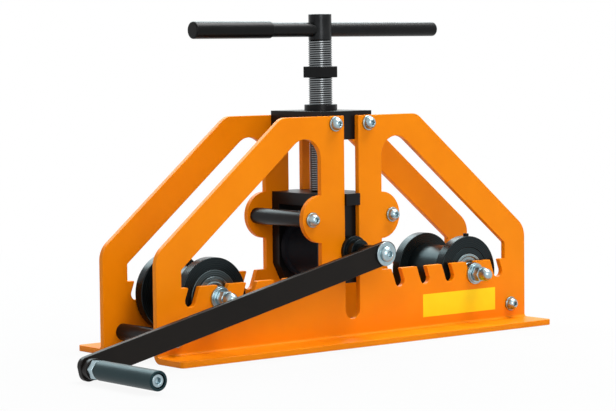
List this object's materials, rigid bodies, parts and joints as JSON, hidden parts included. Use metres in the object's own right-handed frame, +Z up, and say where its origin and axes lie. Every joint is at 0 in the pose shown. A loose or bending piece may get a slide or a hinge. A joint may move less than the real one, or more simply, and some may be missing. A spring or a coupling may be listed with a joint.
{
  "type": "hand cranked ring roller",
  "caption": "Hand cranked three roller bender: folded side plates, idle rollers in slanted notches, driven roller in a yoke under a lead screw.",
  "frame": {"origin": "on the bench in the middle of the front foot, midway between the idle rollers", "axes": "+X along the machine away from the crank's grip, -Y towards the crank, +Z up"},
  "size_m": [0.8099, 0.3898, 0.443],
  "materials": {
    "orange_powder_coat": "satin",
    "black_paint": "satin",
    "blackened_steel": "satin",
    "turned_steel": "turned",
    "zinc_plate": "bright zinc",
    "bronze": "satin",
    "black_plastic": "matte"
  },
  "bodies": {
    "frame": {"front_side_plate": "orange_powder_coat", "rear_side_plate": "orange_powder_coat", "bridge": "black_paint", "screw_nut": "black_paint", "upper_left_rod": "black_paint", "upper_right_rod": "black_paint", "lower_left_rod": "black_paint", "lower_right_rod": "black_paint", "upper_left_rod_front_bolt": "zinc_plate", "upper_left_rod_rear_bolt": "zinc_plate", "upper_right_rod_front_bolt": "zinc_plate", "upper_right_rod_rear_bolt": "zinc_plate", "lower_left_rod_front_bolt": "zinc_plate", "lower_left_rod_rear_bolt": "zinc_plate", "lower_right_rod_front_bolt": "zinc_plate", "lower_right_rod_rear_bolt": "zinc_plate", "bridge_left_front_bolt": "zinc_plate", "bridge_left_rear_bolt": "zinc_plate", "bridge_right_front_bolt": "zinc_plate", "bridge_right_rear_bolt": "zinc_plate"},
    "carriage": {"carriage": "black_paint", "front_bush": "bronze", "rear_bush": "bronze"},
    "screw": {"lead_screw": "turned_steel", "tee_bar": "blackened_steel", "tee_bar_sleeve": "black_plastic", "screw_thrust_washer": "turned_steel", "screw_retaining_nut": "zinc_plate"},
    "stop": {"stop_nut": "blackened_steel"},
    "drive": {"drive_shaft": "blackened_steel", "shaft_key": "turned_steel", "upper_roller": "blackened_steel", "front_collar": "blackened_steel", "rear_collar": "blackened_steel", "crank_arm": "black_paint", "crank_washer": "zinc_plate", "crank_bolt": "zinc_plate", "handle_nut": "zinc_plate", "handle_bolt": "zinc_plate"},
    "grip": {"handle_grip": "black_plastic"},
    "left_axle": {"left_axle": "zinc_plate", "left_axle_front_washer": "zinc_plate", "left_axle_front_nut": "zinc_plate", "left_axle_rear_washer": "zinc_plate", "left_axle_rear_nut": "zinc_plate"},
    "left_roller": {"left_roller_hub": "blackened_steel", "left_roller_front_flange": "blackened_steel", "left_roller_rear_flange": "blackened_steel", "left_front_bearing": "turned_steel", "left_rear_bearing": "turned_steel"},
    "right_axle": {"right_axle": "zinc_plate", "right_axle_front_washer": "zinc_plate", "right_axle_front_nut": "zinc_plate", "right_axle_rear_washer": "zinc_plate", "right_axle_rear_nut": "zinc_plate"},
    "right_roller": {"right_roller_hub": "blackened_steel", "right_roller_front_flange": "blackened_steel", "right_roller_rear_flange": "blackened_steel", "right_front_bearing": "turned_steel", "right_rear_bearing": "turned_steel"}
  },
  "joints": [
    {"name": "screw_turn", "type": "hinge", "parent": "carriage", "child": "screw", "pos_m": [0, 0.093, 0.2], "axis": [0, 0, 1], "range_deg": [-4320, 7200]},
    {"name": "carriage_slide", "type": "slide", "parent": "frame", "child": "carriage", "axis": [0, 0, 1], "range_m": [-0.036, 0.06]},
    {"name": "stop_nut_slide", "type": "slide", "parent": "screw", "child": "stop", "axis": [0, 0, 1], "range_m": [0, 0.03]},
    {"name": "crank_turn", "type": "hinge", "parent": "carriage", "child": "drive", "pos_m": [0, 0.093, 0.1235], "axis": [0, 1, 0], "continuous": true},
    {"name": "grip_spin", "type": "hinge", "parent": "drive", "child": "grip", "pos_m": [-0.47038, -0.119, 0.01603], "axis": [0, 1, 0], "continuous": true},
    {"name": "left_axle_lift", "type": "slide", "parent": "frame", "child": "left_axle", "axis": [0.342, 0, 0.9397], "range_m": [0, 0.027]},
    {"name": "left_roller_spin", "type": "hinge", "parent": "left_axle", "child": "left_roller", "pos_m": [-0.2251, 0.093, 0.0767], "axis": [0, 1, 0], "continuous": true},
    {"name": "right_axle_lift", "type": "slide", "parent": "frame", "child": "right_axle", "axis": [-0.342, 0, 0.9397], "range_m": [0, 0.027]},
    {"name": "right_roller_spin", "type": "hinge", "parent": "right_axle", "child": "right_roller", "pos_m": [0.2251, 0.093, 0.0767], "axis": [0, 1, 0], "continuous": true}
  ],
  "couplings": [
    {"joint": "carriage_slide", "follows": "screw_turn", "m_per_rad": 0.00047746}
  ]
}
